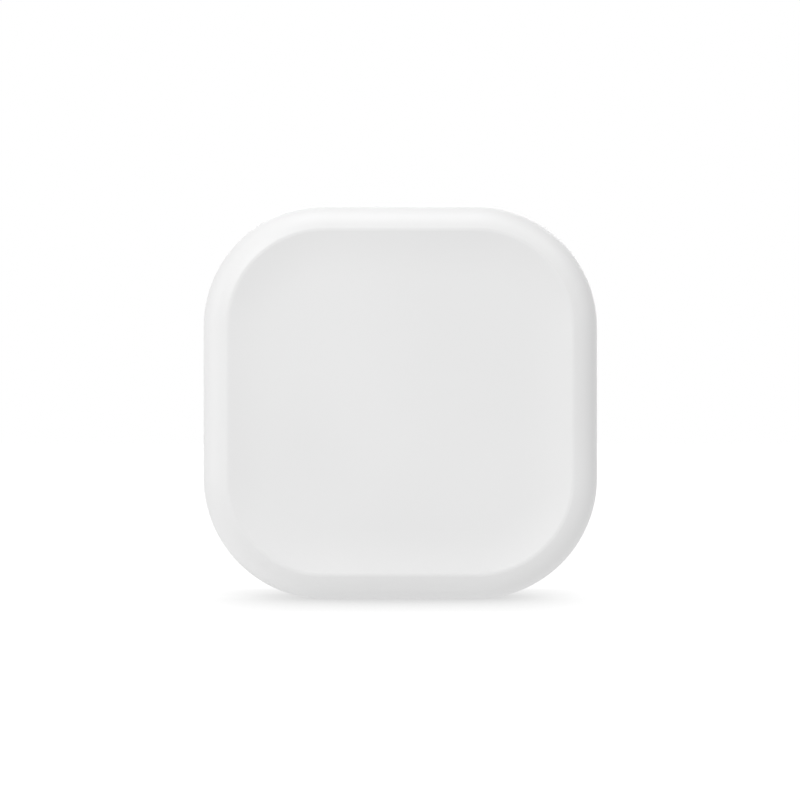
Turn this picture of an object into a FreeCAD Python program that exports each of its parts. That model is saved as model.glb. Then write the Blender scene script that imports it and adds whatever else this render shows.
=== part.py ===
"""A plug-in range extender for a wireless home network, at real size, in millimetres.

A rounded square housing with a softly dished face hangs on a wall socket by two flat blades. It holds a
power board, a radio board, a side button over a small switch, and a light pipe over a status light.

+Z is up and the face looks along -Y. The origin is the middle of the back face, where that face meets the
wall plate and midway between the blades. Depth is counted from the wall plate towards the face, so a
depth of 10 is the plane y = -10. Left and right are as seen from in front.
"""

import FreeCAD, Part
import math
import os
import Sketcher
from FreeCAD import Placement, Rotation, Vector

document = FreeCAD.newDocument("range_extender")
sheet = document.addObject("Spreadsheet::Sheet", "Sizes")


class Formula:
    """A length worked out from the sheet: its text drives the model, its value is today's number."""

    def __init__(self, text, value):
        self.text = text
        self.value = value

    def __add__(self, other):
        other = formula(other)
        return Formula(f"({self.text} + {other.text})", self.value + other.value)

    def __sub__(self, other):
        other = formula(other)
        return Formula(f"({self.text} - {other.text})", self.value - other.value)

    def __mul__(self, other):
        other = formula(other)
        return Formula(f"({self.text} * {other.text})", self.value * other.value)

    def __truediv__(self, other):
        other = formula(other)
        return Formula(f"({self.text} / {other.text})", self.value / other.value)

    def __radd__(self, other):
        return formula(other) + self

    def __rsub__(self, other):
        return formula(other) - self

    def __rmul__(self, other):
        return formula(other) * self

    def __neg__(self):
        return Formula(f"(0 - {self.text})", -self.value)


def formula(number):
    """A plain number as a formula, or the formula as it is."""
    if isinstance(number, Formula):
        return number
    return Formula(f"{number:g}", float(number))


def sine(angle):
    return Formula(f"sin({angle.text})", math.sin(math.radians(angle.value)))


def cosine(angle):
    return Formula(f"cos({angle.text})", math.cos(math.radians(angle.value)))


def square_root(square):
    return Formula(f"sqrt({square.text})", math.sqrt(square.value))


def size(alias, number, meaning):
    """Writes one driving dimension into the sheet, with its meaning beside it."""
    size.row += 1
    sheet.set(f"A{size.row}", alias)
    sheet.set(f"B{size.row}", str(number))
    sheet.set(f"C{size.row}", meaning)
    sheet.setAlias(f"B{size.row}", alias)
    sheet.recompute()
    return Formula(f"Sizes.{alias}", float(sheet.get(alias)))


size.row = 0


def bind(item, name, length):
    """Ties a property to its formula."""
    item.setExpression(name, formula(length).text)


# Helpers for sketches. A sketch that faces the front has X across and Z up, and is set at a depth. A
# sketch that faces sideways has Y across and Z up, and is set at a distance X.

FRONTWARDS = "XZ_Plane"
SIDEWAYS = "YZ_Plane"


def origin_feature(body, role):
    return next(f for f in body.Origin.OriginFeatures if f.Role == role)


def sketch(body, plane, name, offset=0):
    item = body.newObject("Sketcher::SketchObject", name)
    item.AttachmentSupport = [(origin_feature(body, plane), "")]
    item.MapMode = "FlatFace"
    bind(item, "AttachmentOffset.Base.z", offset)
    return item


def dimension(item, kind, where, length):
    """Adds one driving constraint whose number follows a formula."""
    index = item.addConstraint(Sketcher.Constraint(kind, *where, formula(length).value))
    bind(item, f"Constraints[{index}]", length)


def pin(item, geometry, position, u, v):
    """Holds a point of the sketch at (u, v) from the sketch's origin."""
    dimension(item, "DistanceX", (-1, 1, geometry, position), u)
    dimension(item, "DistanceY", (-1, 1, geometry, position), v)


def point(u, v):
    return Vector(formula(u).value, formula(v).value, 0)


def polygon(item, corners):
    """A closed outline of straight lines through the corners, each a pair of formulas."""
    first = item.GeometryCount
    count = len(corners)
    for i in range(count):
        item.addGeometry(Part.LineSegment(point(*corners[i]), point(*corners[(i + 1) % count])), False)
    for i in range(count):
        item.addConstraint(Sketcher.Constraint("Coincident", first + i, 2, first + (i + 1) % count, 1))
        pin(item, first + i, 1, *corners[i])


def rectangle(item, u, v, width, height):
    """A rectangle about the point (u, v)."""
    right = width / 2
    top = height / 2
    polygon(item, [(u - right, v - top), (u + right, v - top), (u + right, v + top), (u - right, v + top)])


def rounded(item, u, v, width, height, radius):
    """A rectangle about (u, v) whose corners are arcs of one radius, tangent to the sides."""
    first = item.GeometryCount
    across = width / 2 - radius
    up = height / 2 - radius
    centres = [(u + across, v + up), (u - across, v + up), (u - across, v - up), (u + across, v - up)]
    r = formula(radius).value
    quarter = math.pi / 2
    for i, centre in enumerate(centres):
        circle_i = Part.Circle(point(*centre), Vector(0, 0, 1), r)
        item.addGeometry(Part.ArcOfCircle(circle_i, i * quarter, (i + 1) * quarter), False)
    for i in range(4):
        end = item.getPoint(first + i, 2)
        start = item.getPoint(first + (i + 1) % 4, 1)
        item.addGeometry(Part.LineSegment(end, start), False)
    for i in range(4):
        item.addConstraint(Sketcher.Constraint("Tangent", first + i, 2, first + 4 + i, 1))
        item.addConstraint(Sketcher.Constraint("Tangent", first + 4 + i, 2, first + (i + 1) % 4, 1))
    for i, centre in enumerate(centres):
        pin(item, first + i, 3, *centre)
        dimension(item, "Radius", (first + i,), radius)


def circle(item, u, v, diameter):
    first = item.GeometryCount
    item.addGeometry(Part.Circle(point(u, v), Vector(0, 0, 1), formula(diameter).value / 2), False)
    pin(item, first, 3, u, v)
    dimension(item, "Diameter", (first,), diameter)


def pad(body, profile, name, length, both_ways=False):
    feature = body.newObject("PartDesign::Pad", name)
    feature.Profile = profile
    bind(feature, "Length", length)
    feature.Midplane = both_ways
    return feature


def pocket(body, profile, name, length, towards_normal=True):
    feature = body.newObject("PartDesign::Pocket", name)
    feature.Profile = profile
    bind(feature, "Length", length)
    feature.Reversed = towards_normal
    return feature


def edges_where(feature, is_wanted):
    """The names of the edges of a feature whose bounding box passes the test."""
    document.recompute()
    edges = enumerate(feature.Shape.Edges, start=1)
    return [f"Edge{number}" for number, edge in edges if is_wanted(edge.BoundBox)]


def near(a, b):
    return abs(a - formula(b).value) < 1e-4


def loop_at(feature, level, half):
    """The edges that run round a square outline of half-width half on one level."""
    def is_on_loop(box):
        reach = max(abs(box.XMin), abs(box.XMax), abs(box.ZMin), abs(box.ZMax))
        return near(-box.YMin, level) and near(-box.YMax, level) and near(reach, half)
    return edges_where(feature, is_on_loop)


def dress(body, kind, name, feature, edges, amount):
    """Fillets or chamfers the named edges of the feature before it."""
    item = body.newObject(f"PartDesign::{kind}", name)
    item.Base = (feature, edges)
    bind(item, "Radius" if kind == "Fillet" else "Size", amount)
    return item


def round_about(body, name, features, count):
    """Repeats features evenly about the axis that runs from the wall to the face."""
    pattern = body.newObject("PartDesign::PolarPattern", name)
    pattern.Originals = features
    pattern.Axis = (origin_feature(body, "Y_Axis"), [""])
    pattern.Angle = 360
    pattern.Occurrences = count
    body.Tip = pattern


nodes = []


def new_node(kind, name):
    """Starts an object that is one sub-part of the finished product."""
    item = document.addObject(kind, name)
    item.Label = name
    nodes.append(item)
    return item


def new_body(name):
    return new_node("PartDesign::Body", name)


# Helpers for plain solids. Each stands at a place (x, z) and starts at a level, which is a depth from
# the wall plate.

WAYS = {"face": Rotation(Vector(1, 0, 0), 90), "right": Rotation(Vector(0, 1, 0), 90), "up": Rotation()}


def place(item, x, z, level):
    bind(item, "Placement.Base.x", x)
    bind(item, "Placement.Base.y", -formula(level))
    bind(item, "Placement.Base.z", z)


def block(name, x, z, level, width, height, depth):
    """A block whose middle is at (x, z), from a level towards the face."""
    item = document.addObject("Part::Box", name)
    bind(item, "Length", width)
    bind(item, "Height", height)
    bind(item, "Width", depth)
    place(item, x - formula(width) / 2, z - formula(height) / 2, level + formula(depth))
    return item


def rod(name, way, x, z, level, diameter, length):
    """A round bar that starts at (x, z) on a level and runs towards the face, to the right or up."""
    item = document.addObject("Part::Cylinder", name)
    bind(item, "Radius", formula(diameter) / 2)
    bind(item, "Height", length)
    item.Placement = Placement(Vector(), WAYS[way])
    place(item, x, z, level)
    return item


def fused(name, shapes, kept=False):
    """One solid of several, kept as a sub-part of its own if asked."""
    item = new_node("Part::MultiFuse", name) if kept else document.addObject("Part::MultiFuse", name)
    item.Shapes = shapes
    item.Refine = True
    return item


def fused_node(name, shapes):
    return fused(name, shapes, kept=True)


def cut_node(name, base, tools):
    item = new_node("Part::Cut", name)
    item.Base = base
    item.Tool = tools[0] if len(tools) == 1 else fused("tools", tools)
    return item


def group_node(name, pieces):
    """Several alike solids that stay apart."""
    item = new_node("Part::Compound", name)
    item.Links = pieces
    return item


# The housing's two mouldings.

body_width = size("body_width", 52, "side of the square housing, seen from in front")
corner_radius = size("corner_radius", 16, "radius of its four corners, seen from in front")
body_depth = size("body_depth", 27, "from the wall plate to the crest of the rim, before it is eased")
side_wall = size("side_wall", 2, "thickness of the side walls")
face_wall = size("face_wall", 2, "thickness behind the dish's floor")
rear_wall = size("rear_wall", 2.2, "thickness of the back face")
rim_radius = size("rim_radius", 4, "radius that rolls the side over the rim")
crest_inset = size("crest_inset", 3.28, "from the side to the rim's crest, seen from in front")
crest_radius = size("crest_radius", 1, "radius that eases the crest, where rim and dish meet")
rear_radius = size("rear_radius", 1.6, "radius round the back face's edge")
dish_slope = size("dish_slope", 12, "angle in degrees at which the rim runs into the dish")
dish_run = size("dish_run", 5.8, "width of the hollow curve from the rim to the dish's floor")
inner_fillet = size("inner_fillet", 1, "fillet inside, where the walls meet the face and the back")
seam_depth = size("seam_depth", 5, "from the wall plate to the seam between the two mouldings")
seam_chamfer = size("seam_chamfer", 0.3, "chamfer on each side of the seam, which makes its fine groove")
lap_skin = size("lap_skin", 1, "wall left outside the lap joint at the seam")
lap_depth = size("lap_depth", 3, "how far the rear cover's tongue enters the front shell")
lap_clearance = size("lap_clearance", 0.1, "gap round the tongue")
snap_width = size("snap_width", 8, "length of each snap bead along the tongue")
snap_height = size("snap_height", 0.3, "how far a snap bead stands out of the tongue")
snap_depth = size("snap_depth", 1, "width of a snap bead, from the wall towards the face")
snap_setback = size("snap_setback", 1, "from the seam to a snap bead")

# The two blades, which are those of a flat unpolarised two-pin plug.

blade_spacing = size("blade_spacing", 12.7, "between the middles of the two blades")
blade_width = size("blade_width", 6.35, "height of a blade")
blade_thickness = size("blade_thickness", 1.5, "thickness of a blade")
blade_length = size("blade_length", 17, "how far a blade stands out of the back face")
blade_corner = size("blade_corner", 1.3, "cut at the corners of a blade's tip")
blade_bevel = size("blade_bevel", 0.4, "bevel that thins a blade's tip")
blade_hole = size("blade_hole", 3.2, "diameter of the hole through a blade")
blade_hole_place = size("blade_hole_place", 11.7, "from the back face to the middle of that hole")
blade_clearance = size("blade_clearance", 0.05, "gap round a blade in its slots")
shoulder_width = size("shoulder_width", 9, "height of the shoulders that hold a blade in")
shoulder_depth = size("shoulder_depth", 2, "length of the shoulders along the blade")
tail_width = size("tail_width", 3, "height of the tail that reaches the power board")
solder_length = size("solder_length", 0.8, "how far tails, leads and pins stand out of a board")

# The carrier that holds the blades against the back face, and the screws.

carrier_width = size("carrier_width", 20, "width of the carrier's block")
carrier_height = size("carrier_height", 12, "height of the carrier's block")
carrier_depth = size("carrier_depth", 4, "depth of the carrier's block")
carrier_groove = size("carrier_groove", 2, "width and depth of the groove between the blades' slots")
ear_thickness = size("ear_thickness", 1.5, "thickness of the carrier's two screw ears")
ear_height = size("ear_height", 7, "height of the ears")
ear_reach = size("ear_reach", 7, "how far an ear stands out beside the block")
ear_rounding = size("ear_rounding", 3, "radius of the ears' corners")
screw_diameter = size("screw_diameter", 2, "outer diameter of every screw")
screw_clearance = size("screw_clearance", 0.05, "gap round a screw's shank")
screw_head = size("screw_head", 3.8, "diameter of every screw's head")
screw_head_depth = size("screw_head_depth", 1.2, "height of every screw's head")
screw_bite = size("screw_bite", 3, "how far a screw enters its boss")
pilot_spare = size("pilot_spare", 0.5, "how far a boss's hole runs past its screw")
boss_wall = size("boss_wall", 1, "wall round the screw in a boss")

# The two boards and what spaces them.

board_clearance = size("board_clearance", 0.8, "gap between a board's edge and the side walls")
solder_room = size("solder_room", 2, "gap between the carrier and the power board")
power_thickness = size("power_thickness", 1.6, "thickness of the power board")
radio_thickness = size("radio_thickness", 1, "thickness of the radio board")
boss_inset = size("boss_inset", 4.8, "from the inside of a rounded corner to the middle of its boss")
root_step = size("root_step", 0.8, "step round a boss that the radio board rests on")
spacer_wall = size("spacer_wall", 1, "wall of the spacer tubes between the boards")
spacer_clearance = size("spacer_clearance", 0.1, "gap between a boss and what slips over it")
barrier_thickness = size("barrier_thickness", 0.3, "thickness of the insulating sheet between the boards")
can_clearance = size("can_clearance", 0.7, "gap between the shield can and the face")
can_depth = size("can_depth", 2, "height of the shield can")
can_wall = size("can_wall", 0.2, "thickness of the shield can's metal")
module_thickness = size("module_thickness", 0.8, "thickness of the radio module's own board")

# The button in the side wall with its switch, and the status light beside it.

button_length = size("button_length", 10, "height of the button in the side wall")
button_width = size("button_width", 4, "width of the button, from the wall towards the face")
button_rounding = size("button_rounding", 1.9, "radius of the button's ends")
button_gap = size("button_gap", 0.15, "gap round the button in its window")
button_recess = size("button_recess", 0.15, "how far the button's face lies below the side wall")
button_edge = size("button_edge", 0.25, "radius round the button's face")
button_below = size("button_below", 3, "from the middle of the side wall down to the button's middle")
button_scoop = size("button_scoop", 0.25, "depth of the finger hollow in the button")
scoop_radius = size("scoop_radius", 18, "radius of that hollow")
stem_diameter = size("stem_diameter", 3, "diameter of the button's stem")
flange_overhang = size("flange_overhang", 0.8, "how far button's and light pipe's flanges pass their holes")
flange_thickness = size("flange_thickness", 0.8, "thickness of those flanges")
flange_gap = size("flange_gap", 0.1, "gap between the button's flange and the side wall")
light_above = size("light_above", 6.5, "from the middle of the side wall up to the light pipe")
light_diameter = size("light_diameter", 2, "diameter of the light pipe's window")
light_clearance = size("light_clearance", 0.05, "gap round the light pipe in its hole")
light_bevel = size("light_bevel", 0.2, "bevel round the light pipe's outer end")
light_gap = size("light_gap", 0.3, "gap between the light pipe and the status light")
notch_depth = size("notch_depth", 2, "how far the radio board's edge is cut back behind the button")
switch_depth = size("switch_depth", 3.5, "height of the switch from its board")
switch_width = size("switch_width", 6, "width of the switch along the board's edge")
switch_length = size("switch_length", 4, "length of the switch's body, square to the side wall")
cover_metal = size("cover_metal", 0.3, "metal of the switch's cover")
cover_tab = size("cover_tab", 2.6, "how far the cover's two side tabs reach down from the board")
chamber_diameter = size("chamber_diameter", 3, "diameter of the switch's chamber")
chamber_depth = size("chamber_depth", 1.5, "depth of the switch's chamber")
dome_rise = size("dome_rise", 0.4, "height of the snap dome")
dome_top = size("dome_top", 1, "diameter of the flat on top of the snap dome")
dome_metal = size("dome_metal", 0.1, "metal of the snap dome")
dome_gap = size("dome_gap", 0.05, "gap between dome and plunger, and round both in the chamber")
plunger_diameter = size("plunger_diameter", 1.8, "diameter of the switch's plunger")
plunger_foot = size("plunger_foot", 0.7, "thickness of the plunger's foot over the dome")
plunger_gap = size("plunger_gap", 0.1, "gap round the plunger in the switch's cover")
plunger_reach = size("plunger_reach", 0.9, "how far the plunger stands out of the switch")
led_width = size("led_width", 3, "width of the side-facing status light")
led_depth = size("led_depth", 1.6, "height of the status light from its board")
led_length = size("led_length", 1.5, "length of the status light, square to the side wall")

# Levels and places that follow from those sizes.

past_crest = rim_radius - crest_inset
rolled_to = body_depth + rim_radius - square_root(rim_radius * rim_radius - past_crest * past_crest)
dish_depth = dish_run * (1 - cosine(dish_slope)) / sine(dish_slope)
ceiling = body_depth - dish_depth - face_wall
half_width = body_width / 2
half_inside = half_width - side_wall
inner_radius = corner_radius - side_wall
half_board = half_inside - board_clearance
board_radius = inner_radius - board_clearance
carrier_level = rear_wall + carrier_depth
power_level = carrier_level + solder_room
power_top = power_level + power_thickness
can_level = ceiling - can_clearance - can_depth
module_level = can_level - module_thickness
radio_level = module_level - radio_thickness
barrier_level = radio_level - barrier_thickness
room = barrier_level - power_top
boss_place = half_inside - inner_radius + (inner_radius - boss_inset) * cosine(formula(45))
screw_bore = screw_diameter + 2 * screw_clearance
boss_diameter = screw_bore + 2 * boss_wall
sleeve_bore = boss_diameter + 2 * spacer_clearance
ear_screw = carrier_width / 2 + ear_reach / 2
button_level = radio_level - switch_depth / 2
notch_edge = half_board - notch_depth
flange_outside = half_inside - flange_gap
flange_inside = flange_outside - flange_thickness
cover_inside = notch_edge - cover_metal
chamber_floor = cover_inside - chamber_depth
plunger_tip = notch_edge + plunger_reach

# A cut runs this far past the face that it opens, and a joined piece starts this far inside its neighbour.
PAST = 1
INSIDE = 0.2


def front_shell():
    """The main moulding: sides, rolled rim and dished face, with the four bosses that carry the boards."""
    body = new_body("front_shell")
    outline = sketch(body, FRONTWARDS, "shell_outline", seam_depth)
    rounded(outline, 0, 0, body_width, body_width, corner_radius)
    solid = pad(body, outline, "shell_block", rolled_to - seam_depth)
    dress(body, "Fillet", "shell_rim", solid, loop_at(solid, rolled_to, half_width), rim_radius)
    cut_dish(body)

    cavity = sketch(body, FRONTWARDS, "cavity_outline", seam_depth)
    rounded(cavity, 0, 0, 2 * half_inside, 2 * half_inside, inner_radius)
    hollow = pocket(body, cavity, "cavity", ceiling - seam_depth)
    inside = loop_at(hollow, ceiling, half_inside)
    softened = dress(body, "Fillet", "cavity_fillet", hollow, inside, inner_fillet)
    mouth = loop_at(softened, seam_depth, half_width)
    dress(body, "Chamfer", "seam_edge", softened, mouth, seam_chamfer)

    lap = sketch(body, FRONTWARDS, "lap_outline", seam_depth)
    rounded(lap, 0, 0, 2 * (half_width - lap_skin), 2 * (half_width - lap_skin), corner_radius - lap_skin)
    pocket(body, lap, "lap", lap_depth + lap_clearance)
    groove = sketch(body, FRONTWARDS, "snap_groove_outline", seam_depth + snap_setback - lap_clearance)
    rectangle(groove, 0, half_width - lap_skin, snap_width + 2 * lap_clearance, 2 * snap_height)
    grooves = pocket(body, groove, "snap_groove", snap_depth + 2 * lap_clearance)
    round_about(body, "snap_grooves", [grooves], 4)

    root_level = radio_level + radio_thickness
    root = sketch(body, FRONTWARDS, "boss_root_outline", root_level)
    circle(root, boss_place, boss_place, boss_diameter + 2 * root_step)
    roots = pad(body, root, "boss_root", ceiling + INSIDE - root_level)
    post = sketch(body, FRONTWARDS, "boss_post_outline", power_top)
    circle(post, boss_place, boss_place, boss_diameter)
    posts = pad(body, post, "boss_post", root_level + INSIDE - power_top)
    bore = sketch(body, FRONTWARDS, "boss_bore_outline", power_top)
    circle(bore, boss_place, boss_place, screw_bore)
    bores = pocket(body, bore, "boss_bore", screw_bite + pilot_spare)
    round_about(body, "bosses", [roots, posts, bores], 4)

    window = sketch(body, SIDEWAYS, "button_window_outline", half_inside - PAST)
    rounded(window, -button_level, -button_below, button_width + 2 * button_gap,
            button_length + 2 * button_gap, button_rounding + button_gap)
    pocket(body, window, "button_window", side_wall + 2 * PAST)
    hole = sketch(body, SIDEWAYS, "light_hole_outline", half_inside - PAST)
    circle(hole, -button_level, light_above, light_diameter + 2 * light_clearance)
    pocket(body, hole, "light_hole", side_wall + 2 * PAST)


def cut_dish(body):
    """Sweeps the dish's curve round the crest of the rim, clears the floor inside it and eases the crest."""
    crest = half_width - crest_inset
    path = sketch(body, FRONTWARDS, "crest_line", body_depth)
    rounded(path, 0, 0, 2 * crest, 2 * crest, corner_radius - crest_inset)
    profile = sketch(body, SIDEWAYS, "dish_profile")
    foot = crest - dish_run
    dish_outline(profile, crest, foot)
    curve = body.newObject("PartDesign::SubtractivePipe", "dish_curve")
    curve.Profile = profile
    document.recompute()
    curve.Spine = (path, [f"Edge{i + 1}" for i in range(len(path.Shape.Edges))])
    floor = sketch(body, FRONTWARDS, "dish_floor_outline", body_depth - dish_depth)
    edge = foot - DISH_OVERLAP / 2
    rounded(floor, 0, 0, 2 * edge, 2 * edge, corner_radius - (half_width - edge))
    cleared = pocket(body, floor, "dish_floor", dish_depth + PAST)
    dress(body, "Fillet", "crest_edge", cleared, loop_at(cleared, body_depth, crest), crest_radius)


# The swept curve and the floor's pocket share a strip this wide, so that no skin stays between them.
DISH_OVERLAP = 1.5


def dish_outline(item, crest, foot):
    """What is cut away at the rim: down the hollow curve from a slope that clears the rim, to the floor."""
    hollow_radius = dish_run / sine(dish_slope)
    floor_level = body_depth - dish_depth
    clear = rolled_to + PAST
    outside = crest + (clear - body_depth) * cosine(dish_slope) / sine(dish_slope)
    hollow = Part.Circle(point(-(floor_level + hollow_radius), foot), Vector(0, 0, 1), hollow_radius.value)
    item.addGeometry(Part.ArcOfCircle(hollow, 0, math.radians(dish_slope.value)), False)
    pin(item, 0, 3, -(floor_level + hollow_radius), foot)
    pin(item, 0, 1, -floor_level, foot)
    corners = [(-body_depth, crest), (-clear, outside), (-clear, foot - DISH_OVERLAP),
               (-floor_level, foot - DISH_OVERLAP), (-floor_level, foot)]
    for i in range(4):
        item.addGeometry(Part.LineSegment(point(*corners[i]), point(*corners[i + 1])), False)
    item.addConstraint(Sketcher.Constraint("Tangent", 0, 2, 1, 1))
    for i in range(1, 4):
        item.addConstraint(Sketcher.Constraint("Coincident", i, 2, i + 1, 1))
        pin(item, i, 2, *corners[i])
    item.addConstraint(Sketcher.Constraint("Coincident", 4, 2, 0, 1))


def rear_cover():
    """The back moulding: a shallow tray with blade slots, screw bosses and a tongue with snap beads."""
    body = new_body("rear_cover")
    outline = sketch(body, FRONTWARDS, "cover_outline")
    rounded(outline, 0, 0, body_width, body_width, corner_radius)
    solid = pad(body, outline, "cover_block", seam_depth)
    softened = dress(body, "Fillet", "cover_edge", solid, loop_at(solid, 0, half_width), rear_radius)
    mouth = loop_at(softened, seam_depth, half_width)
    dress(body, "Chamfer", "cover_seam_edge", softened, mouth, seam_chamfer)

    tongue_half = half_width - lap_skin - lap_clearance
    tongue = sketch(body, FRONTWARDS, "tongue_outline", seam_depth - INSIDE)
    rounded(tongue, 0, 0, 2 * tongue_half, 2 * tongue_half, corner_radius - lap_skin - lap_clearance)
    pad(body, tongue, "tongue", lap_depth + INSIDE)
    tray = sketch(body, FRONTWARDS, "tray_outline", rear_wall)
    rounded(tray, 0, 0, 2 * half_inside, 2 * half_inside, inner_radius)
    hollow = pocket(body, tray, "tray", seam_depth + lap_depth + PAST - rear_wall)
    dress(body, "Fillet", "tray_fillet", hollow, loop_at(hollow, rear_wall, half_inside), inner_fillet)

    bead = sketch(body, SIDEWAYS, "snap_bead_outline")
    near_edge = -(seam_depth + snap_setback)
    far_edge = near_edge - snap_depth
    polygon(bead, [(near_edge, tongue_half - INSIDE), (near_edge, tongue_half),
                   (near_edge - snap_depth / 2, tongue_half + snap_height), (far_edge, tongue_half),
                   (far_edge, tongue_half - INSIDE)])
    beads = pad(body, bead, "snap_bead", snap_width, both_ways=True)
    round_about(body, "snap_beads", [beads], 4)

    boss = sketch(body, FRONTWARDS, "carrier_boss_outline", rear_wall - INSIDE)
    bore = sketch(body, FRONTWARDS, "carrier_bore_outline", carrier_level - ear_thickness)
    slots = sketch(body, FRONTWARDS, "blade_slots_outline", -PAST)
    for side in (-1, 1):
        circle(boss, side * ear_screw, 0, boss_diameter)
        circle(bore, side * ear_screw, 0, screw_bore)
        rectangle(slots, side * blade_spacing / 2, 0, blade_thickness + 2 * blade_clearance,
                  blade_width + 2 * blade_clearance)
    pad(body, boss, "carrier_bosses", carrier_depth - ear_thickness + INSIDE)
    pocket(body, bore, "carrier_bores", screw_bite + pilot_spare, towards_normal=False)
    pocket(body, slots, "blade_slots", rear_wall + 2 * PAST)


def blade(name, side):
    """A stamped brass blade with shoulders behind the back face and a tail that the power board takes."""
    body = new_body(name)
    outline = sketch(body, SIDEWAYS, f"{name}_outline", side * blade_spacing / 2)
    top = blade_width / 2
    shoulder = shoulder_width / 2
    tail = tail_width / 2
    upper = [(blade_length, top - blade_corner), (blade_length - blade_corner, top), (-rear_wall, top),
             (-rear_wall, shoulder), (-(rear_wall + shoulder_depth), shoulder),
             (-(rear_wall + shoulder_depth), tail), (-(power_top + solder_length), tail)]
    polygon(outline, upper + [(y, -z) for y, z in reversed(upper)])
    circle(outline, blade_hole_place, 0, blade_hole)
    strip = pad(body, outline, f"{name}_strip", blade_thickness, both_ways=True)
    tip = edges_where(strip, lambda box: near(box.YMin, blade_length) and box.ZLength > blade_corner.value)
    dress(body, "Chamfer", f"{name}_tip", strip, tip, blade_bevel)


def blade_carrier():
    """A moulded block that backs the blades' shoulders and is screwed to the rear cover by two ears."""
    body = new_body("blade_carrier")
    outline = sketch(body, FRONTWARDS, "carrier_outline", rear_wall)
    rectangle(outline, 0, 0, carrier_width, carrier_height)
    pad(body, outline, "carrier_block", carrier_depth)
    ears = sketch(body, FRONTWARDS, "ears_outline", carrier_level - ear_thickness)
    rounded(ears, 0, 0, carrier_width + 2 * ear_reach, ear_height, ear_rounding)
    pad(body, ears, "ears", ear_thickness)

    shoulders = sketch(body, FRONTWARDS, "shoulder_pockets_outline", rear_wall)
    tails = sketch(body, FRONTWARDS, "tail_slots_outline", rear_wall - PAST)
    screws = sketch(body, FRONTWARDS, "ear_holes_outline", carrier_level - ear_thickness - PAST)
    slot_width = blade_thickness + 2 * blade_clearance
    for side in (-1, 1):
        rectangle(shoulders, side * blade_spacing / 2, 0, slot_width, shoulder_width + 2 * blade_clearance)
        rectangle(tails, side * blade_spacing / 2, 0, slot_width, tail_width + 2 * blade_clearance)
        circle(screws, side * ear_screw, 0, screw_bore)
    pocket(body, shoulders, "shoulder_pockets", shoulder_depth + blade_clearance)
    pocket(body, tails, "tail_slots", carrier_depth + 2 * PAST)
    pocket(body, screws, "ear_holes", ear_thickness + 2 * PAST)
    groove = sketch(body, FRONTWARDS, "carrier_groove_outline", carrier_level)
    rectangle(groove, 0, 0, carrier_groove, carrier_height + 2 * PAST)
    pocket(body, groove, "carrier_groove_cut", carrier_groove, towards_normal=False)


def boss_places():
    """The four places of the bosses."""
    return [(side * boss_place, end * boss_place) for side in (-1, 1) for end in (-1, 1)]


def carrier_screws():
    """Two screws driven from in front through the carrier's ears into the rear cover."""
    screws = []
    for side in (-1, 1):
        x = side * ear_screw
        shank = ear_thickness + screw_bite
        head = rod("carrier_screw_head", "face", x, 0, carrier_level, screw_head, screw_head_depth)
        bar = rod("carrier_screw_shank", "face", x, 0, carrier_level - shank, screw_diameter,
                  shank + INSIDE)
        screws.append(fused("carrier_screw", [head, bar]))
    group_node("carrier_screws", screws)


def board_screws():
    """Four screws driven from behind through the power board into the front shell's bosses."""
    screws = []
    for x, z in boss_places():
        head = rod("board_screw_head", "face", x, z, power_level - screw_head_depth, screw_head,
                   screw_head_depth)
        bar = rod("board_screw_shank", "face", x, z, power_level - INSIDE, screw_diameter,
                  INSIDE + power_thickness + screw_bite)
        screws.append(fused("board_screw", [head, bar]))
    group_node("board_screws", screws)


def board_spacers():
    """Four tubes that slip over the bosses and keep the boards apart."""
    tubes = []
    for x, z in boss_places():
        tube = document.addObject("Part::Cut", "spacer")
        tube.Base = rod("spacer_outside", "face", x, z, power_top, sleeve_bore + 2 * spacer_wall, room)
        tube.Tool = rod("spacer_bore", "face", x, z, power_top - PAST, sleeve_bore, room + 2 * PAST)
        tubes.append(tube)
    group_node("board_spacers", tubes)


# Parts on the power board. Their places count from the board's middle or from its edges.

lead_width = size("lead_width", 0.6, "side of the parts' square leads")
lead_clearance = size("lead_clearance", 0.1, "gap round a lead or pin in its hole")
lead_bend = size("lead_bend", 1, "from the end of a lying part to where its leads turn down")
lying_gap = size("lying_gap", 0.05, "gap under a part that lies on its board")
power_holes = []


def lead(name, x, z, top):
    """A lead from a level back through the power board, which gets a hole for it."""
    power_holes.append((x, z))
    end = power_level - solder_length
    return block(f"{name}_lead", x, z, end, lead_width, lead_width, top - end)


def bent_lead(name, x, z, axis, right, up):
    """A lead that leaves a lying part's end at (x, z), to the right or up, and turns down to the board."""
    reach = lead_bend + INSIDE
    middle_x = x + right * (lead_bend - INSIDE) / 2
    middle_z = z + up * (lead_bend - INSIDE) / 2
    width = reach if right else lead_width
    height = reach if up else lead_width
    run = block(f"{name}_run", middle_x, middle_z, axis - lead_width / 2, width, height, lead_width)
    return [run, lead(name, x + right * lead_bend, z + up * lead_bend, axis + lead_width / 2)]


core_width = size("core_width", 10.2, "width of the transformer's core")
core_height = size("core_height", 9.6, "height of the transformer's core, seen from in front")
core_window = size("core_window", 2.6, "width of each window in the core")
core_yoke = size("core_yoke", 1.8, "height of the core above and below its windows")
transformer_inset = size("transformer_inset", 10.7, "from the board's upper edge down to the transformer")
transformer_gap = size("transformer_gap", 1.1, "gap between the transformer and the barrier sheet")
bobbin_wall = size("bobbin_wall", 0.6, "thickness of the bobbin's tube and flanges")
bobbin_clearance = size("bobbin_clearance", 0.05, "gap between core, bobbin and winding")
winding_inset = size("winding_inset", 0.3, "how far the winding lies below the bobbin's flanges")
winding_build = size("winding_build", 1, "thickness of the winding on the bobbin")


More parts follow.
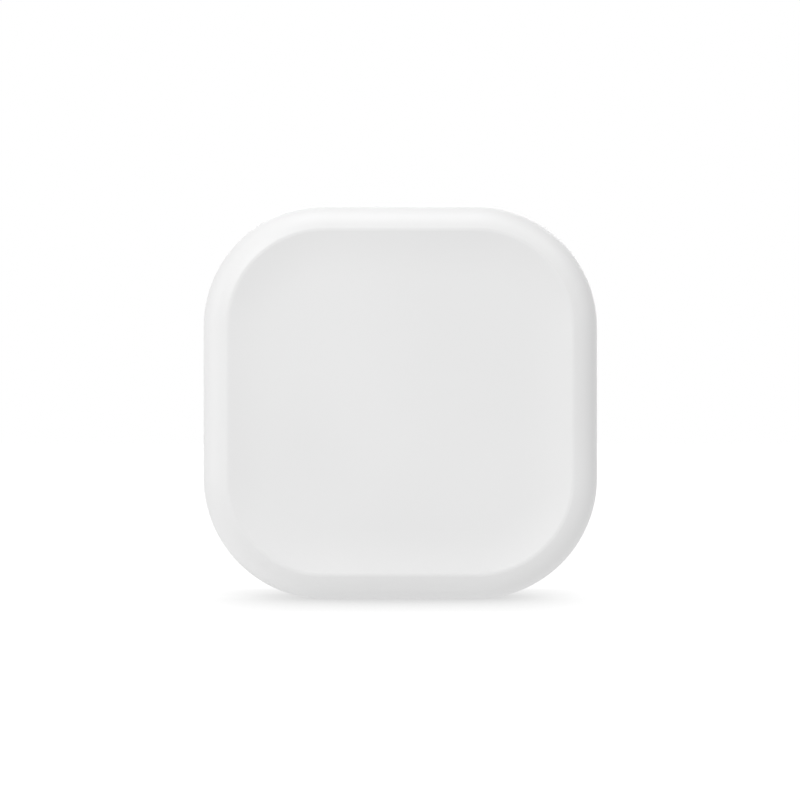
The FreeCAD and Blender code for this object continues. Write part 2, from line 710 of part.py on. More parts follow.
def transformer():
    """A ferrite core with two windows, a bobbin on its middle limb and the winding on the bobbin."""
    z = half_board - transformer_inset
    depth = room - transformer_gap
    core_depth = depth - 2 * (winding_inset + winding_build + 2 * bobbin_clearance + bobbin_wall)
    core_level = power_top + (depth - core_depth) / 2
    window_height = core_height - 2 * core_yoke
    limb = (core_width - 2 * core_window) / 2
    window_middle = (limb + core_window) / 2
    outside = block("core_outside", 0, z, core_level, core_width, core_height, core_depth)
    windows = [block("core_window_cut", side * window_middle, z, core_level - PAST, core_window,
                     window_height, core_depth + 2 * PAST) for side in (-1, 1)]
    cut_node("transformer_core", outside, windows)

    hole_width = limb + 2 * bobbin_clearance
    hole_depth = core_depth + 2 * bobbin_clearance
    hole_level = core_level - bobbin_clearance
    tube_width = hole_width + 2 * bobbin_wall
    tube_depth = hole_depth + 2 * bobbin_wall
    tube_height = window_height - 2 * bobbin_clearance
    flange_width = limb + 2 * core_window - 2 * bobbin_clearance
    flange_offset = (tube_height - bobbin_wall) / 2
    shapes = [block("bobbin_tube", 0, z, hole_level - bobbin_wall, tube_width, tube_height, tube_depth)]
    for end in (-1, 1):
        shapes.append(block("bobbin_flange", 0, z + end * flange_offset, power_top, flange_width,
                            bobbin_wall, depth))
        for side in (-1, 1):
            x = side * (flange_width - lead_width) / 2
            shapes.append(lead("bobbin", x, z + end * flange_offset, power_top + INSIDE))
    spool = fused("bobbin_spool", shapes)
    bore = block("bobbin_bore", 0, z, hole_level, hole_width, tube_height + 2 * PAST, hole_depth)
    cut_node("transformer_bobbin", spool, [bore])

    wound = block("winding_outside", 0, z, power_top + winding_inset, flange_width - 2 * winding_inset,
                  tube_height - 2 * bobbin_wall - 2 * bobbin_clearance, depth - 2 * winding_inset)
    inside = block("winding_inside", 0, z, hole_level - bobbin_wall - bobbin_clearance,
                   tube_width + 2 * bobbin_clearance, tube_height, tube_depth + 2 * bobbin_clearance)
    cut_node("transformer_winding", wound, [inside])


bulk_diameter = size("bulk_diameter", 6.3, "diameter of the two bulk capacitors")
bulk_length = size("bulk_length", 11, "length of the two bulk capacitors")
bulk_left = size("bulk_left", 3.5, "from the board's middle left to the bulk capacitors' middles")
bulk_inset = size("bulk_inset", 6.2, "from the board's lower edge up to the lower bulk capacitor")
bulk_spacing = size("bulk_spacing", 7.5, "between the middles of the two bulk capacitors")
bulk_pitch = size("bulk_pitch", 2.5, "between a bulk capacitor's leads")
lower_row = bulk_inset - half_board
upper_row = lower_row + bulk_spacing


def bulk_capacitor(name, row):
    """A can that lies across the board, its two leads bent down at the left end."""
    axis = power_top + lying_gap + bulk_diameter / 2
    left = -bulk_left - bulk_length / 2
    shapes = [rod(f"{name}_can", "right", left, row, axis, bulk_diameter, bulk_length)]
    for end in (-1, 1):
        shapes += bent_lead(name, left, row + end * bulk_pitch / 2, axis, -1, 0)
    fused_node(name, shapes)


choke_diameter = size("choke_diameter", 6.5, "diameter of the input choke's flanges")
choke_depth = size("choke_depth", 6, "height of the input choke")
choke_flange = size("choke_flange", 0.9, "thickness of the choke's flanges")
choke_winding = size("choke_winding", 5.6, "diameter of the choke's winding")
choke_right = size("choke_right", 6, "from the board's middle right to the choke and the varistor")
choke_pitch = size("choke_pitch", 3, "between the choke's leads")


def input_choke():
    """A wound drum on end, between two flanges."""
    low = power_top + lying_gap
    high = low + choke_depth - choke_flange
    shapes = [rod("choke_base", "face", choke_right, upper_row, low, choke_diameter, choke_flange),
              rod("choke_cap", "face", choke_right, upper_row, high, choke_diameter, choke_flange),
              rod("choke_wire", "face", choke_right, upper_row, low, choke_winding, choke_depth)]
    for side in (-1, 1):
        shapes.append(lead("choke", choke_right + side * choke_pitch / 2, upper_row, low + INSIDE))
    fused_node("input_choke", shapes)


varistor_diameter = size("varistor_diameter", 6, "diameter of the surge varistor's disc")
varistor_thickness = size("varistor_thickness", 3, "thickness of that disc")
varistor_pitch = size("varistor_pitch", 4, "between the varistor's leads")
varistor_lift = size("varistor_lift", 0.5, "gap between the varistor's disc and its board")


def surge_varistor():
    """A coated disc that stands on its two leads."""
    axis = power_top + varistor_lift + varistor_diameter / 2
    low = lower_row - varistor_thickness / 2
    shapes = [rod("varistor_disc", "up", choke_right, low, axis, varistor_diameter, varistor_thickness)]
    for side in (-1, 1):
        shapes.append(lead("varistor", choke_right + side * varistor_pitch / 2, lower_row, axis))
    fused_node("surge_varistor", shapes)


fusible_diameter = size("fusible_diameter", 3, "diameter of the fusible resistor")
fusible_length = size("fusible_length", 8, "length of the fusible resistor")
fusible_right = size("fusible_right", 10, "from the board's middle right to the fusible resistor")


def fusible_resistor():
    """A rod that lies upright on the board with a bent lead at each end."""
    axis = power_top + lying_gap + fusible_diameter / 2
    half = fusible_length / 2
    shapes = [rod("fusible_rod", "up", fusible_right, -half, axis, fusible_diameter, fusible_length)]
    for end in (-1, 1):
        shapes += bent_lead("fusible", fusible_right, end * half, axis, 0, end)
    fused_node("fusible_resistor", shapes)


disc_diameter = size("disc_diameter", 6, "diameter of the safety capacitor's disc")
disc_thickness = size("disc_thickness", 3, "thickness of that disc")
disc_inset = size("disc_inset", 5.5, "from the board's right edge to the disc's middle")
disc_above = size("disc_above", 4, "from the board's middle up to the disc's")
disc_pitch = size("disc_pitch", 4, "between the safety capacitor's leads")


def safety_capacitor():
    """A coated disc laid flat, which bridges the two sides of the supply."""
    x = half_board - disc_inset
    low = power_top + lying_gap
    shapes = [rod("safety_disc", "face", x, disc_above, low, disc_diameter, disc_thickness)]
    for end in (-1, 1):
        shapes.append(lead("safety", x, disc_above + end * disc_pitch / 2, low + INSIDE))
    fused_node("safety_capacitor", shapes)


smoothing_diameter = size("smoothing_diameter", 5, "diameter of the output capacitor")
smoothing_length = size("smoothing_length", 8, "length of the output capacitor")
smoothing_inset = size("smoothing_inset", 5, "from the board's left edge to the output capacitor")
smoothing_above = size("smoothing_above", 0.6, "from the board's middle up to the output capacitor")
smoothing_pitch = size("smoothing_pitch", 2, "between the output capacitor's leads")


def output_capacitor():
    """A can that lies upright on the board, its two leads bent down at the upper end."""
    x = smoothing_inset - half_board
    axis = power_top + lying_gap + smoothing_diameter / 2
    top = smoothing_above + smoothing_length
    shapes = [rod("smoothing_can", "up", x, smoothing_above, axis, smoothing_diameter, smoothing_length)]
    for side in (-1, 1):
        shapes += bent_lead("smoothing", x + side * smoothing_pitch / 2, top, axis, 0, 1)
    fused_node("output_capacitor", shapes)


pin_pitch = size("pin_pitch", 2.54, "between the pins that join the two boards")
pin_width = size("pin_width", 0.64, "side of a pin")
pin_inset = size("pin_inset", 3, "from the boards' left edge to the pins")
pins_below = size("pins_below", 5, "from the boards' middle down to the middle of the row of pins")
header_side = size("header_side", 2.5, "width and height of the strip that the pins stand in")
PIN_COUNT = 4


def pin_places():
    x = pin_inset - half_board
    return [(x, (i - (PIN_COUNT - 1) / 2) * pin_pitch - pins_below) for i in range(PIN_COUNT)]


def header():
    """A row of square pins from the power board to the radio board, in a moulded strip."""
    start = power_level - solder_length
    length = radio_level + radio_thickness + solder_length - start
    pins = []
    holes = []
    for x, z in pin_places():
        pins.append(block("pin", x, z, start, pin_width, pin_width, length))
        holes.append(block("pin_hole", x, z, power_top - PAST, pin_width, pin_width,
                           header_side + 2 * PAST))
    group_node("header_pins", pins)
    strip = block("header_strip", pin_inset - half_board, -pins_below, power_top, header_side,
                  PIN_COUNT * pin_pitch, header_side)
    cut_node("header_base", strip, holes)


leg_width = size("leg_width", 0.5, "width of a chip's leg")
leg_reach = size("leg_reach", 0.8, "how far a chip's legs stand out beside it")
leg_pitch = size("leg_pitch", 1.27, "between a chip's legs")
chip_lift = size("chip_lift", 0.1, "gap between a chip's body and its board")

bridge_left = size("bridge_left", 10, "from the board's middle left to the bridge rectifier")
bridge_width = size("bridge_width", 4.7, "width of the bridge rectifier")
bridge_height = size("bridge_height", 3.9, "height of the bridge rectifier, seen from in front")
bridge_depth = size("bridge_depth", 2.4, "how far the bridge rectifier stands off its board")
converter_right = size("converter_right", 9.5, "from the board's middle right to the converter chip")
converter_above = size("converter_above", 8.8, "from the board's middle up to the converter chip")
converter_width = size("converter_width", 4.9, "width of the converter chip")
converter_height = size("converter_height", 3.9, "height of the converter chip, seen from in front")
converter_depth = size("converter_depth", 1.6, "how far the converter chip stands off its board")
diode_left = size("diode_left", 9, "from the board's middle left to the output diode")
diode_above = size("diode_above", 7.5, "from the board's middle up to the output diode")
diode_side = size("diode_side", 2.6, "width and height of the output diode")
diode_depth = size("diode_depth", 2.1, "how far the output diode stands off its board")
coupler_left = size("coupler_left", 8.2, "from the board's middle left to the optocoupler")
coupler_above = size("coupler_above", 13, "from the board's middle up to the optocoupler")
coupler_width = size("coupler_width", 4.4, "width of the optocoupler")
coupler_height = size("coupler_height", 3.6, "height of the optocoupler, seen from in front")
coupler_depth = size("coupler_depth", 2, "how far the optocoupler stands off its board")


def chip(name, x, z, level, width, height, depth, legs):
    """A moulded chip with a row of legs above and below it, soldered flat on its board."""
    shapes = [block(f"{name}_body", x, z, level + chip_lift, width, height, depth - chip_lift)]
    for i in range(legs):
        across = x + (i - (legs - 1) / 2) * leg_pitch
        shapes.append(block(f"{name}_legs", across, z, level, leg_width, height + 2 * leg_reach,
                            depth / 2))
    fused_node(name, shapes)


def power_chips():
    """The four chips on the power board."""
    chip("bridge_rectifier", -bridge_left, 0, power_top, bridge_width, bridge_height, bridge_depth, 2)
    chip("converter_chip", converter_right, converter_above, power_top, converter_width,
         converter_height, converter_depth, 4)
    chip("output_diode", -diode_left, diode_above, power_top, diode_side, diode_side, diode_depth, 1)
    chip("optocoupler", -coupler_left, coupler_above, power_top, coupler_width, coupler_height,
         coupler_depth, 2)


def board_outline(item):
    rounded(item, 0, 0, 2 * half_board, 2 * half_board, board_radius)


def cut_pin_holes(item):
    for x, z in pin_places():
        rectangle(item, x, z, pin_width + 2 * lead_clearance, pin_width + 2 * lead_clearance)


def power_board():
    """The board that takes the blades' tails and carries the supply, drilled for leads and screws."""
    body = new_body("power_board")
    outline = sketch(body, FRONTWARDS, "power_board_outline", power_level)
    board_outline(outline)
    for x, z in boss_places():
        circle(outline, x, z, screw_bore)
    for side in (-1, 1):
        rectangle(outline, side * blade_spacing / 2, 0, blade_thickness + 2 * blade_clearance,
                  tail_width + 2 * blade_clearance)
    for x, z in power_holes:
        rectangle(outline, x, z, lead_width + 2 * lead_clearance, lead_width + 2 * lead_clearance)
    cut_pin_holes(outline)
    pad(body, outline, "power_board_sheet", power_thickness)


def cut_side_notch(body, name, level, depth, edge):
    """Cuts a board's right edge back to a distance behind the button and the light pipe."""
    low = -(button_below + button_length / 2 + flange_overhang + board_clearance)
    high = light_above + light_diameter / 2 + flange_overhang + board_clearance
    notch = sketch(body, FRONTWARDS, f"{name}_outline", level - PAST)
    right = half_inside
    polygon(notch, [(edge, low), (right, low), (right, high), (edge, high)])
    pocket(body, notch, name, depth + 2 * PAST)


def barrier_sheet():
    """A thin insulating sheet behind the radio board, open at the pins and round the switch."""
    body = new_body("barrier_sheet")
    outline = sketch(body, FRONTWARDS, "barrier_outline", barrier_level)
    board_outline(outline)
    for x, z in boss_places():
        circle(outline, x, z, sleeve_bore)
    rectangle(outline, pin_inset - half_board, -pins_below, 2 * pin_width, PIN_COUNT * pin_pitch)
    pad(body, outline, "barrier_pad", barrier_thickness)
    cut_side_notch(body, "barrier_notch", barrier_level, barrier_thickness,
                   cover_inside - switch_length - board_clearance)


def radio_board():
    """The board under the face, which carries the radio on its front and the switch on its back."""
    body = new_body("radio_board")
    outline = sketch(body, FRONTWARDS, "radio_board_outline", radio_level)
    board_outline(outline)
    for x, z in boss_places():
        circle(outline, x, z, sleeve_bore)
    cut_pin_holes(outline)
    pad(body, outline, "radio_board_sheet", radio_thickness)
    cut_side_notch(body, "radio_notch", radio_level, radio_thickness, notch_edge)


# Parts on the front of the radio board.

module_width = size("module_width", 12.5, "width of the radio module")
module_height = size("module_height", 16, "height of the radio module")
module_above = size("module_above", 9, "from the board's middle up to the module's")
can_width = size("can_width", 11, "width of the shield can")
can_height = size("can_height", 10, "height of the shield can, seen from in front")
can_edge = size("can_edge", 0.75, "strip of the module's board below the shield can")
antenna_metal = size("antenna_metal", 0.1, "thickness of the antenna's copper")
antenna_width = size("antenna_width", 0.5, "width of the antenna's track")
antenna_height = size("antenna_height", 2.6, "height of the antenna's bends")
antenna_pitch = size("antenna_pitch", 1.4, "between the antenna's upright runs")
ANTENNA_RUNS = 7
radio_chip_side = size("radio_chip_side", 5, "side of the radio chip")
radio_chip_depth = size("radio_chip_depth", 0.8, "thickness of the radio chip")
radio_chip_left = size("radio_chip_left", 1.8, "from the middle of the can left to the radio chip")
crystal_width = size("crystal_width", 2.5, "width of the crystal")
crystal_height = size("crystal_height", 3.2, "height of the crystal, seen from in front")
crystal_depth = size("crystal_depth", 0.7, "thickness of the crystal")
crystal_right = size("crystal_right", 2.8, "from the middle of the can right to the crystal")
regulator_right = size("regulator_right", 4, "from the board's middle right to the voltage regulator")
regulator_below = size("regulator_below", 9, "from the board's middle down to the voltage regulator")
regulator_width = size("regulator_width", 6.5, "width of the voltage regulator")
regulator_height = size("regulator_height", 3.5, "height of the voltage regulator, seen from in front")
regulator_depth = size("regulator_depth", 1.6, "how far the voltage regulator stands off its board")
capacitor_width = size("capacitor_width", 1.6, "width of a chip capacitor")
capacitor_height = size("capacitor_height", 0.8, "height and thickness of a chip capacitor")
capacitor_pitch = size("capacitor_pitch", 3, "between chip capacitors in a row")
capacitor_rows = size("capacitor_rows", 5, "from the voltage regulator to each row of chip capacitors")
CAPACITORS_IN_ROW = 4


def radio_module():
    """A small board with the radio chip and crystal under a can, and a printed antenna above them."""
    block_node("radio_module_board", 0, module_above, module_level, module_width, module_height,
               module_thickness)
    can_middle = module_above - module_height / 2 + can_edge + can_height / 2
    outside = block("can_outside", 0, can_middle, can_level, can_width, can_height, can_depth)
    inside = block("can_inside", 0, can_middle, can_level - PAST, can_width - 2 * can_wall,
                   can_height - 2 * can_wall, can_depth - can_wall + PAST)
    cut_node("shield_can", outside, [inside])
    block_node("radio_chip", -radio_chip_left, can_middle, can_level, radio_chip_side, radio_chip_side,
               radio_chip_depth)
    block_node("crystal", crystal_right, can_middle, can_level, crystal_width, crystal_height,
               crystal_depth)

    low = can_middle + can_height / 2 + antenna_width
    shapes = []
    for i in range(ANTENNA_RUNS):
        x = (i - (ANTENNA_RUNS - 1) / 2) * antenna_pitch
        shapes.append(block("antenna_run", x, low + antenna_height / 2, can_level, antenna_width,
                            antenna_height, antenna_metal))
        if i:
            end = low + (antenna_height - antenna_width / 2 if i % 2 else antenna_width / 2)
            shapes.append(block("antenna_turn", x - antenna_pitch / 2, end, can_level,
                                antenna_pitch + antenna_width, antenna_width, antenna_metal))
    fused_node("antenna_track", shapes)


def block_node(name, x, z, level, width, height, depth):
    item = block(name, x, z, level, width, height, depth)
    item.Label = name
    nodes.append(item)


def radio_board_parts():
    """The regulator, with a row of small capacitors above it and one below."""
    chip("voltage_regulator", regulator_right, -regulator_below, module_level, regulator_width,
         regulator_height, regulator_depth, 3)
    capacitors = []
    for end in (-1, 1):
        z = end * capacitor_rows - regulator_below
        for column in range(CAPACITORS_IN_ROW):
            x = (column - (CAPACITORS_IN_ROW - 1) / 2) * capacitor_pitch
            capacitors.append(block("chip_capacitor", x, z, module_level, capacitor_width,
                                    capacitor_height, capacitor_height))
    group_node("chip_capacitors", capacitors)


# The switch, the button over it, and the status light with its light pipe.


def switch():
    """A side-pressed switch on the back of the radio board, its cover flush with the notch's edge."""
    level = radio_level - switch_depth
    z = -button_below
    base_middle = cover_inside - switch_length / 2
    outside = block("switch_outside", base_middle, z, level, switch_length, switch_width, switch_depth)
    chamber = rod("switch_chamber", "right", chamber_floor, z, button_level, chamber_diameter,
                  chamber_depth + PAST)
    cut_node("switch_base", outside, [chamber])

    plate = block("cover_plate", cover_inside + cover_metal / 2, z, level, cover_metal, switch_width,
                  switch_depth)
    folded = [plate]
    for end in (-1, 1):
        beside = z + end * (switch_width + cover_metal) / 2
        folded.append(block("cover_side_tab", notch_edge - switch_length / 2, beside,
                            radio_level - cover_tab, switch_length, cover_metal, cover_tab))
    metal = fused("cover_sheet", folded)
    hole = rod("cover_hole", "right", cover_inside - PAST, z, button_level,
               plunger_diameter + 2 * plunger_gap, cover_metal + 2 * PAST)
    cut_node("switch_cover", metal, [hole])

    foot_diameter = chamber_diameter - 2 * dome_gap
    cone = dome_cone("dome_outside", chamber_floor, foot_diameter, z)
    hollow = dome_cone("dome_inside", chamber_floor - dome_metal, foot_diameter, z)
    cut_node("switch_dome", cone, [hollow])

    foot_start = chamber_floor + dome_rise + dome_gap
    foot = rod("plunger_foot_disc", "right", foot_start, z, button_level, foot_diameter, plunger_foot)
    stub = rod("plunger_stub", "right", foot_start, z, button_level, plunger_diameter,
               plunger_tip - foot_start)
    fused_node("switch_plunger", [foot, stub])


def dome_cone(name, x, diameter, z):
    item = document.addObject("Part::Cone", name)
    bind(item, "Radius1", diameter / 2)
    bind(item, "Radius2", dome_top / 2)
    bind(item, "Height", dome_rise)
    item.Placement = Placement(Vector(), WAYS["right"])
    place(item, x, z, button_level)
    return item


def action_button():
    """The pill-shaped button: a flange behind the wall, a scooped face in the window, a stem behind."""
    body = new_body("action_button")
    flange = sketch(body, SIDEWAYS, "button_flange_outline", flange_inside)
    rounded(flange, -button_level, -button_below, button_width + 2 * flange_overhang,
            button_length + 2 * flange_overhang, button_rounding + flange_overhang)
    pad(body, flange, "button_flange", flange_thickness)
    face = half_width - button_recess
    cap = sketch(body, SIDEWAYS, "button_cap_outline", flange_outside - INSIDE)
    rounded(cap, -button_level, -button_below, button_width, button_length, button_rounding)
    top = pad(body, cap, "button_cap", face - flange_outside + INSIDE)
    rim = edges_where(top, lambda box: near(box.XMin, face) and near(box.XMax, face))
    dress(body, "Fillet", "button_cap_edge", top, rim, button_edge)
    scoop = sketch(body, FRONTWARDS, "button_scoop_outline", button_level - button_width / 2 - PAST)
    circle(scoop, face - button_scoop + scoop_radius, -button_below, 2 * scoop_radius)
    pocket(body, scoop, "button_scoop_cut", button_width + 2 * PAST)
    stem = sketch(body, SIDEWAYS, "button_stem_outline", plunger_tip)
    circle(stem, -button_level, -button_below, stem_diameter)
    pad(body, stem, "button_stem", flange_inside - plunger_tip + INSIDE)


def light_pipe():
    """A clear turned rod: a window in the wall, a flange behind it and a wide end that faces the light."""
    body = new_body("light_pipe")
    profile = sketch(body, FRONTWARDS, "light_pipe_profile", button_level)
    bind(profile, "AttachmentOffset.Base.y", light_above)
    window = light_diameter / 2
    flange = window + flange_overhang
    wide_end = notch_edge + light_gap
    outside = half_width - light_bevel / 2
    step = half_inside - flange_thickness
    polygon(profile, [(wide_end, 0), (outside, 0), (outside, window - light_bevel),
                      (outside - light_bevel, window), (half_inside, window), (half_inside, flange),
                      (step, flange), (step, flange - light_bevel), (wide_end, flange - light_bevel)])
    turned = body.newObject("PartDesign::Revolution", "light_pipe_turned")
    turned.Profile = profile
    turned.ReferenceAxis = (profile, ["H_Axis"])
    turned.Angle = 360


def status_light():
    block_node("status_light", notch_edge - led_length / 2, light_above, radio_level - led_depth,
               led_length, led_width, led_depth)


front_shell()
rear_cover()
blade("line_blade", 1)
blade("neutral_blade", -1)
blade_carrier()
carrier_screws()
board_screws()
board_spacers()
transformer()
bulk_capacitor("bulk_capacitor_1", upper_row)
bulk_capacitor("bulk_capacitor_2", lower_row)
input_choke()
surge_varistor()
fusible_resistor()
safety_capacitor()
output_capacitor()
header()
power_chips()
power_board()
barrier_sheet()
radio_board()
radio_module()
radio_board_parts()
switch()
action_button()
light_pipe()
status_light()

document.recompute()
for item in document.Objects:
    if "Invalid" in item.State or "Error" in item.State:
        raise RuntimeError(f"{item.Label} has failed: {item.getStatusString()}")
for item in nodes:
    if item.Shape.isNull() or not item.Shape.isValid():
        raise RuntimeError(f"{item.Label} is not a valid solid")

os.makedirs("parts", exist_ok=True)
for item in nodes:
    item.Shape.exportStep(f"parts/{item.Label}.step")
print(f"{len(nodes)} sub-parts written")
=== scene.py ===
"""Finishes and studio for the plug-in range extender, in metres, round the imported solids.

+Z is up, the face looks along -Y and the blades point along +Y, with the back face at Y = 0. The sections
follow the order in which the device is put together, and the studio comes last.
"""

import math

import bmesh
import bpy
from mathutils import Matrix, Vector


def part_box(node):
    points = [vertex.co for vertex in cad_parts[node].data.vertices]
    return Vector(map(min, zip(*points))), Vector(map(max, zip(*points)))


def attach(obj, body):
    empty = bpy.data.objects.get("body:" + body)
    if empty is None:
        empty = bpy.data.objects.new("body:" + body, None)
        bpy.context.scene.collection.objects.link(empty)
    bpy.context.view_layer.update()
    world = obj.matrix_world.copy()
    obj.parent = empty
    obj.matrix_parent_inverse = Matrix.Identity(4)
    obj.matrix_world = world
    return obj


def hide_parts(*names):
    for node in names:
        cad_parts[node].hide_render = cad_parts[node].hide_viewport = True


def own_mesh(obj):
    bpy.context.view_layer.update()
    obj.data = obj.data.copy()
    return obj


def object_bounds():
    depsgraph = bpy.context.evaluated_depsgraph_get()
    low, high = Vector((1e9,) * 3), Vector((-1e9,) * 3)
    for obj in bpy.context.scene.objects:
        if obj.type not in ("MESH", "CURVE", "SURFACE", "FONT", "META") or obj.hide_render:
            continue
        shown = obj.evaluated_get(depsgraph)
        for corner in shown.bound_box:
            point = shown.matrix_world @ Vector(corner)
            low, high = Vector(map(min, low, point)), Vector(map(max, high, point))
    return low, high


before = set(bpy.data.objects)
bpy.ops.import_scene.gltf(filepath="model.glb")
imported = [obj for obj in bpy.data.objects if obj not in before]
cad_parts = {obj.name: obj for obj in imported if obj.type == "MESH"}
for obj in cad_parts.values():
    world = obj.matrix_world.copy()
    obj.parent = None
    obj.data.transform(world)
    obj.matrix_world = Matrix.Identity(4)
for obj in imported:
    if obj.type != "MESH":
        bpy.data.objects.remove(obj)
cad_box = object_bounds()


# Rear cover
# The shallow tray that faces the wall, injection moulded in white ABS. Its tool is spark-eroded, which
# leaves a fine even grain and a satin gloss, and it snaps into the front shell along the seam.

MM = 0.001

# A Mix node's sockets for two colours, and its output for the mixed one.
COLOUR_A, COLOUR_B, MIXED = 6, 7, 2


def linear(code):
    """An sRGB hex colour as the linear values that a shader takes."""
    parts = [int(code[i:i + 2], 16) / 255 for i in (1, 3, 5)]
    curve = [part / 12.92 if part <= 0.04045 else ((part + 0.055) / 1.055) ** 2.4 for part in parts]
    return (*curve, 1)


def add_node(owner, kind, sockets=None, **settings):
    """Adds a node to a material or the world. A socket takes a plain value, or the output that feeds it."""
    node = owner.node_tree.nodes.new(kind)
    for name, value in settings.items():
        setattr(node, name, value)
    for name, value in (sockets or {}).items():
        if isinstance(value, bpy.types.NodeSocket):
            owner.node_tree.links.new(value, node.inputs[name])
        else:
            node.inputs[name].default_value = value
    return node


def finish_material(name, **sockets):
    """A new material, with the values given for its shader's sockets. Their names are underscored."""
    material = bpy.data.materials.new(name)
    material.use_nodes = True
    shader = material.node_tree.nodes["Principled BSDF"]
    for socket, value in sockets.items():
        shader.inputs[socket.replace("_", " ")].default_value = value
    return material


def feed(material, **sockets):
    """Links outputs to sockets of the material's main shader. Their names are underscored."""
    shader = material.node_tree.nodes["Principled BSDF"]
    for socket, output in sockets.items():
        material.node_tree.links.new(output, shader.inputs[socket.replace("_", " ")])


def spots(material, across_mm, detail=2, stretch=(1, 1, 1), contrast=(0.3, 0.7)):
    """Soft random spots about so many millimetres across, which run from 0 to 1 between two levels."""
    place = add_node(material, "ShaderNodeTexCoord").outputs["Object"]
    stretched = add_node(material, "ShaderNodeMapping", {"Vector": place, "Scale": stretch})
    noise = add_node(material, "ShaderNodeTexNoise", {
        "Vector": stretched.outputs["Vector"], "Scale": 1 / (across_mm * MM), "Detail": detail})
    return add_node(material, "ShaderNodeMapRange", {
        "Value": noise.outputs["Fac"], "From Min": contrast[0], "From Max": contrast[1]}).outputs["Result"]


def clothe(material, patches, colours, marks=None, depth_mm=0, roughness=None):
    """Two colours in patches, then marks that stand up so far and change the gloss between two values."""
    shades = add_node(material, "ShaderNodeMix", {
        "Factor": patches, COLOUR_A: linear(colours[0]), COLOUR_B: linear(colours[1])},
        data_type="RGBA").outputs[MIXED]
    feed(material, Base_Color=shades)
    if marks:
        relief = add_node(material, "ShaderNodeBump", {
            "Height": marks, "Distance": depth_mm * MM, "Strength": 1})
        feed(material, Normal=relief.outputs["Normal"])
    if roughness:
        gloss = add_node(material, "ShaderNodeMapRange", {
            "Value": marks, "To Min": roughness[0], "To Max": roughness[1]})
        feed(material, Roughness=gloss.outputs["Result"])
    return shades


def give(material, *node_names):
    """Puts a material on CAD nodes in place of their plain one."""
    for name in node_names:
        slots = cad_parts[name].data.materials
        slots.clear()
        slots.append(material)


def white_abs(name, grain_mm, roughness):
    """Moulded white ABS: an even neutral white under a broad soft sheen, broken up by the tool's grain."""
    abs_index = 1.54
    flow_mm = 22
    grain_depth_mm = 0.0012
    gloss_change = 0.03
    material = finish_material(name, IOR=abs_index)
    flow = spots(material, flow_mm, detail=1, contrast=(0.35, 0.65))
    grain = spots(material, grain_mm, detail=1)
    clothe(material, flow, ("#EBEBEB", "#E9E9E9"), grain, grain_depth_mm,
           (roughness - gloss_change, roughness + gloss_change))
    return material


# The real grain is about 0.1 mm across, which is drawn twice as coarse so that it shows at all.
housing_abs = white_abs("spark_grained_white_abs", grain_mm=0.2, roughness=0.46)
give(housing_abs, "rear_cover")


# Wall blades
# Two flat blades stamped from 1.5 mm brass strip and nickel plated, which shoulders hold behind the back
# face. The plating is bright with a warm cast, and a socket's springs have scored it lengthwise.

def plated_metal(name, bright, dull, roughness, score_mm, along):
    """A plated or drawn metal with fine score marks, drawn out along one axis by the stretch given."""
    cloud_mm = 3
    score_depth_mm = 0.002
    polished, scored = roughness - 0.06, roughness + 0.12
    material = finish_material(name, Metallic=1)
    clouds = spots(material, cloud_mm, detail=3)
    scores = spots(material, score_mm, detail=4, stretch=along, contrast=(0.35, 0.7))
    clothe(material, clouds, (bright, dull), scores, score_depth_mm, (polished, scored))
    return material


nickel_plate = plated_metal("nickel_plated_brass", "#D1CEC8", "#BFBBB3", 0.24, 0.25, (1, 0.03, 1))
give(nickel_plate, "line_blade", "neutral_blade")


# Blade carrier and its screws
# A block of black glass-filled PBT that backs the blades' shoulders, held to the rear cover by two screws.
# The glass fibres leave it dull, with faint pale streaks here and there. The screws' zinc is a cool grey.

def black_moulding(name, fibre_mm, roughness, index=1.58):
    """A dark moulded plastic, with pale streaks of fibre or filler this long."""
    relief_mm = 0.002
    material = finish_material(name, IOR=index)
    streaks = spots(material, fibre_mm, detail=4, stretch=(1, 1, 0.3), contrast=(0.45, 0.8))
    clothe(material, streaks, ("#1C1C1E", "#303033"), streaks, relief_mm, (roughness, roughness + 0.1))
    return material


filled_pbt = black_moulding("glass_filled_black_pbt", 0.8, 0.5)
give(filled_pbt, "blade_carrier")

zinc_plate = plated_metal("zinc_plated_steel", "#C3C6CC", "#A9ADB5", 0.3, 0.3, (1, 1, 1))
give(zinc_plate, "carrier_screws", "board_screws")


# Power board
# A 1.6 mm glass-epoxy laminate with copper under a green solder mask, sawn at its edge to a dull yellow. Over
# copper the mask stands slightly proud and looks paler, and the glossy lacquer mirrors softly.

# How long one wave of the wave texture is at a scale of 1, in metres.
WAVE_LENGTH = math.pi / 10


